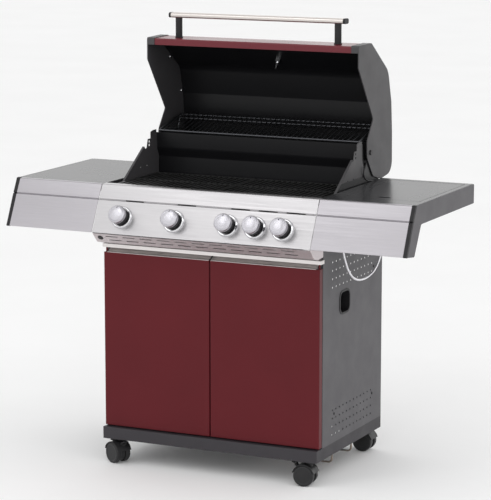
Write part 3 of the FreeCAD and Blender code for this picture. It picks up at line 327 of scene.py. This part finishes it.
GREY = (0.080, 0.077, 0.083)
RED = (0.099, 0.0078, 0.0118)
FINISH = {
    "side_grey": powder_coat("side grey powder coat", GREY),
    # Base: the side panels' grey made darker, a shaded copy of it, so painted shade on the base
    "base_grey": powder_coat("base grey powder coat with painted shade", (0.033, 0.030, 0.035)),
    "door_red": gloss_enamel("door red enamel", RED, 0.34, specular=0.18),
    "lid_red": gloss_enamel("lid red enamel", (0.135, 0.018, 0.026), 0.26),
    # Panel and shelf fronts are one steel: a lighter copy on the panel and a darker one on the shelf fronts,
    # painted light and shade
    "panel_silver": brushed("panel brushed steel, lit copy", (0.50, 0.49, 0.50), 0.36),
    "shelf_silver": brushed("shelf brushed steel, shaded copy", (0.43, 0.415, 0.438), 0.38),
    "shelf_black": gloss_enamel("shelf dark enamel", (0.030, 0.030, 0.032), 0.27, specular=0.24,
                                cloud=0.01),
    "cap_grey": powder_coat("cap grey casting", (0.051, 0.049, 0.052), 0.46, 500.0),
    "enamel_black": gloss_enamel("black firebox enamel", (0.0065, 0.0065, 0.0075), 0.33, 0.00004,
                                 0.25),
    "plastic_black": moulded("black moulded plastic", (0.010, 0.0095, 0.011)),
    "steel": brushed("bare steel", (0.52, 0.51, 0.5), 0.36),
    "steel_dark": dull_steel("dulled steel", (0.26, 0.25, 0.24)),
    "chrome": polished("bright plating", (0.74, 0.74, 0.76)),
    # Rack plating set far darker than the bright plating
    "rack_chrome": polished("dark rack plating", (0.095, 0.097, 0.105), 0.42),
    "black_zinc": polished("black zinc", (0.035, 0.034, 0.036), 0.35),
    "strip_aluminium": brushed("satin aluminium", (0.72, 0.69, 0.68), 0.42),
    "strip_grey": brushed("vent strip steel", (0.62, 0.57, 0.58), 0.5),
    "grate_iron": cast_iron("enamelled cast iron", (0.012, 0.012, 0.012)),
    "brass": polished("satin brass", (0.60, 0.42, 0.17), 0.25),
    "knob_silver": polished("knob plating", (0.70, 0.69, 0.72), 0.2),
    "hose_braid": braided("braided sleeve", (0.80, 0.79, 0.82)),
    "wheel_black": moulded("black nylon", (0.016, 0.016, 0.017), 0.42),
    "handle_silver": brushed("brushed handle", (0.66, 0.62, 0.59), 0.3),
}
SLOT_OF = {part["node"]: part["material_slot"] for part in frame["record"]["subparts"]}


def finish_with(obj, material):
    obj.data.materials.clear()
    obj.data.materials.append(material)


for node_name, node in NODES.items():
    for slot_index in range(max(1, len(node.material_slots))):
        if not node.material_slots:
            node.data.materials.append(FINISH[SLOT_OF[node_name]])
        node.material_slots[slot_index].material = FINISH[SLOT_OF[node_name]]
finish_with(hose, FINISH["hose_braid"])


# ---------------------------------------------------------------- mesh helpers
SHARP_ANGLE = math.radians(32)


def mesh_piece(name, vertices, faces, material, body, smooth=True):
    mesh = bpy.data.meshes.new(name)
    mesh.from_pydata([tuple(v) for v in vertices], [], faces)
    mesh.validate()
    mesh.update()
    for polygon in mesh.polygons:
        polygon.use_smooth = smooth
    piece = put(bpy.data.objects.new(name, mesh))
    if smooth:
        mesh.set_sharp_from_angle(angle=SHARP_ANGLE)
    finish_with(piece, material)
    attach(piece, body)
    return piece


def frame_at(origin, axis):
    return Matrix.Translation(origin) @ axis.to_track_quat("Z", "Y").to_matrix().to_4x4()


def lathe(name, profile, origin, axis, material, body, segments=72, ribs=None):
    """Surface turned about axis. Each point of profile is a radius and a height; radius 0 closes an end.
    ribs gives a factor on the radius from the angle and the height."""
    place = frame_at(origin, axis)
    vertices, rings = [], []
    for radius, height in profile:
        if radius == 0:
            rings.append([len(vertices)])
            vertices.append(place @ Vector((0, 0, height)))
            continue
        ring = []
        for i in range(segments):
            angle = 2 * math.pi * i / segments
            r = radius * (ribs(angle, height) if ribs else 1.0)
            ring.append(len(vertices))
            vertices.append(place @ Vector((r * math.cos(angle), r * math.sin(angle), height)))
        rings.append(ring)
    faces = []
    for low, high in zip(rings, rings[1:]):
        for i in range(segments):
            j = (i + 1) % segments
            if len(low) == 1:
                faces.append((low[0], high[i], high[j]))
            elif len(high) == 1:
                faces.append((low[i], low[j], high[0]))
            else:
                faces.append((low[i], low[j], high[j], high[i]))
    return mesh_piece(name, vertices, faces, material, body)


# ---------------------------------------------------------------- knobs
KNOBS = 5
KNOB_LIFT = 0.020                # a knob's joint lies this far out from the panel's face
GRIP_RIBS, RIB_DEPTH = 24, 0.030         # depth as a share of the grip's radius
RIB_LOW, RIB_HIGH = 0.0075, 0.0262
GRIP_PROFILE = [(0.0045, 0.0062), (0.0248, 0.0062), (0.0255, 0.0072), (0.0255, 0.0085), (0.0255, 0.025),
                (0.0252, 0.0268), (0.0225, 0.0274)]
CAP_PROFILE = [(0.0224, 0.0272), (0.0262, 0.0272), (0.0270, 0.0282), (0.0270, 0.0366), (0.0262, 0.0390),
               (0.0245, 0.0408), (0.0222, 0.0418), (0.0214, 0.0412), (0.0206, 0.0412), (0.0196, 0.0424),
               (0.0150, 0.0433), (0.0095, 0.0438), (0.0040, 0.0440), (0.0, 0.0440)]
CAP_METAL = (0.56, 0.55, 0.585)
MARK_OUTLINE = [(-0.0011, -0.0045), (0.0011, -0.0045), (0.0011, 0.0040), (0.0, 0.0052), (-0.0011, 0.0040)]
MARK_HEIGHT, MARK_RADIUS, MARK_DEPTH = 0.0402, 0.0160, 0.0030
MARK_FALL = 0.07                 # how steeply the mark's tip follows the dome down
ACROSS = Vector((1, 0, 0))
UP_PANEL = Vector((0, FACE_OUT.z, -FACE_OUT.y))


def ribbed(angle, height):
    """Factor on the grip's radius: shallow flutes between the grip's two plain ends."""
    if not RIB_LOW < height < RIB_HIGH:
        return 1.0
    return 1.0 - RIB_DEPTH * max(0.0, math.cos(GRIP_RIBS * angle)) ** 2


def knob_mark(number, face):
    """Arrow-ended line on a knob's cap that shows where it is turned to."""
    middle = face + FACE_OUT * MARK_HEIGHT + UP_PANEL * MARK_RADIUS
    top = []
    for across, along in MARK_OUTLINE:
        rise = MARK_DEPTH - MARK_FALL * max(0.0, along)
        top.append(middle + ACROSS * across + UP_PANEL * along + FACE_OUT * rise)
    lowered = [corner - FACE_OUT * MARK_DEPTH for corner in top]
    count = len(top)
    faces = [tuple(range(count))]
    for i in range(count):
        j = (i + 1) % count
        faces.append((i, i + count, j + count, j))
    mesh_piece(f"knob_{number}_mark", top + lowered, faces, FINISH["plastic_black"], f"knob_{number}",
               False)


for number in range(1, KNOBS + 1):
    body = f"knob_{number}"
    face = Vector(JOINTS[f"{body}_turn"]["pos_m"]) - FACE_OUT * KNOB_LIFT
    grip = lathe(f"{body}_grip", GRIP_PROFILE, face, FACE_OUT, FINISH["plastic_black"], body,
                 192, ribbed)
    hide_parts(body)
    lathe(f"{body}_cap", CAP_PROFILE, face, FACE_OUT, spun(f"spun cap {number}", CAP_METAL, face), body,
          96)
    knob_mark(number, face)

# ---------------------------------------------------------------- thermometer dial
DIAL_AXIS = Vector((0, 0.5755, 0.8178))          # out of the lid's top slope
DIAL_FOOT = Vector((0.017, 0.2241, 1.2144))
DIAL_RADIUS, DIAL_FACE = 0.0258, 0.0092
TICKS, TICK_START, TICK_STEP, LONG_EVERY = 31, -135, 9, 5     # angles in degrees
TICK_OUTER, TICK_HEIGHT = 0.0238, 0.00935
NEEDLE_ANGLE, NEEDLE_HEIGHT = -60, 0.0098
BAR_TAPER = 0.6
HUB_PROFILE = [(0.0026, 0.0093), (0.0026, 0.0104), (0.0018, 0.0107), (0.0, 0.0107)]


def dial_way(angle):
    """Direction from the dial's middle: degrees clockwise from its top, seen from outside."""
    up = (Vector((0, 0, 1)) - DIAL_AXIS * DIAL_AXIS.z).normalized()
    right = up.cross(DIAL_AXIS)
    turn = math.radians(angle)
    return up * math.cos(turn) + right * math.sin(turn)


def dial_bar(angle, inner, outer, half, height):
    """Corners of a thin flat bar along a radius of the dial."""
    side = dial_way(angle + 90) * half
    near, far = (DIAL_FOOT + dial_way(angle) * radius + DIAL_AXIS * height for radius in (inner, outer))
    return [near - side, near + side, far + side * BAR_TAPER, far - side * BAR_TAPER]


dial_white = moulded("dial face", (0.80, 0.80, 0.78), 0.4, 300.0)
dial_black = moulded("dial print", (0.012, 0.012, 0.012), 0.4, 300.0)
dial_red = moulded("dial needle", (0.45, 0.02, 0.015), 0.35, 300.0)
disc = [(0.0, DIAL_FACE), (DIAL_RADIUS, DIAL_FACE), (DIAL_RADIUS, DIAL_FACE - 0.0004)]
lathe("dial_face", disc, DIAL_FOOT, DIAL_AXIS, dial_white, "lid")
vertices, faces = [], []
for step in range(TICKS):
    long = step % LONG_EVERY == 0
    inner, half = (0.0190, 0.0006) if long else (0.0210, 0.0003)
    faces.append(tuple(range(len(vertices), len(vertices) + 4)))
    vertices += dial_bar(TICK_START + step * TICK_STEP, inner, TICK_OUTER, half, TICK_HEIGHT)
mesh_piece("dial_ticks", vertices, faces, dial_black, "lid", False)
lathe("dial_hub", HUB_PROFILE, DIAL_FOOT, DIAL_AXIS, FINISH["chrome"], "lid", 32)
needle = dial_bar(NEEDLE_ANGLE, -0.006, 0.0195, 0.0010, NEEDLE_HEIGHT)
mesh_piece("dial_needle", needle, [(0, 1, 2, 3)], dial_red, "lid", False)

# ---------------------------------------------------------------- bolts inside the lid's end caps
CAP_INSIDE = 0.349
BOLT_PLACES = [(0.203, 1.196), (0.278, 1.0825)]          # y and z
BOLT_HEAD = [(0.0052, 0.0), (0.0052, 0.0012), (0.0044, 0.0028), (0.0028, 0.0036), (0.0, 0.0039)]
for number, (bolt_y, bolt_z) in enumerate(BOLT_PLACES, 1):
    for side_name, side in (("left", -1), ("right", 1)):
        seat = Vector((side * CAP_INSIDE, bolt_y, bolt_z))
        lathe(f"lid_bolt_{side_name}_{number}", BOLT_HEAD, seat, Vector((-side, 0, 0)), FINISH["chrome"],
              "lid", 28)

# ---------------------------------------------------------------- floor, light and surroundings
WORLD_LIGHT = 1.30
OVERHEAD = 0.62                  # share of that light that comes from straight above
HORIZON_FADE = (0.25, 0.9)       # heights on the unit sphere between which it falls off
world = bpy.data.worlds.new("world")
bpy.context.scene.world = world
world.use_nodes = True
sky = world.node_tree
sky.nodes["Background"].inputs["Color"].default_value = (1, 1, 1, 1)
direction = sky.nodes.new("ShaderNodeTexCoord").outputs["Generated"]
height = sky.nodes.new("ShaderNodeSeparateXYZ")
sky.links.new(direction, height.inputs["Vector"])
fade = map_range(sky, *HORIZON_FADE, WORLD_LIGHT, WORLD_LIGHT * OVERHEAD)
sky.links.new(height.outputs["Z"], fade.inputs["Value"])
sky.links.new(fade.outputs["Result"], sky.nodes["Background"].inputs["Strength"])

FLOOR_HALF = 40.0
corners = [(x * FLOOR_HALF, y * FLOOR_HALF, 0) for x, y in ((-1, -1), (1, -1), (1, 1), (-1, 1))]
floor_mesh = bpy.data.meshes.new("floor")
floor_mesh.from_pydata(corners, [], [(0, 1, 2, 3)])
floor = put(bpy.data.objects.new("floor", floor_mesh))
floor_shader = Shader("pale floor", (0.93, 0.93, 0.93), 0.8, Specular_IOR_Level=0.1)
floor_shader.vary_colour(floor_shader.noise(1.5, 3.0), (0.92, 0.92, 0.92), (0.94, 0.94, 0.94))
finish_with(floor, floor_shader.material)

LIGHTS_TARGET = Vector((0, 0, 0.7))
# Azimuth and elevation in degrees; distance, width and height in metres; watts
LIGHTS = {
    "key": (-28, 44, 4.0, 1.0, 1.6, 10),
    "front": (20, 30, 5.5, 2.6, 1.4, 14),
    "right": (85, 35, 4.5, 1.6, 1.6, 12),
}
for name, (azimuth, elevation, distance, width, tall, power) in LIGHTS.items():
    light = bpy.data.lights.new(name, "AREA")
    light.shape = "RECTANGLE"
    light.size, light.size_y = width, tall
    light.energy = power
    lamp = put(bpy.data.objects.new(name, light))
    aim(lamp, outward(math.radians(azimuth), math.radians(elevation)), LIGHTS_TARGET, distance)
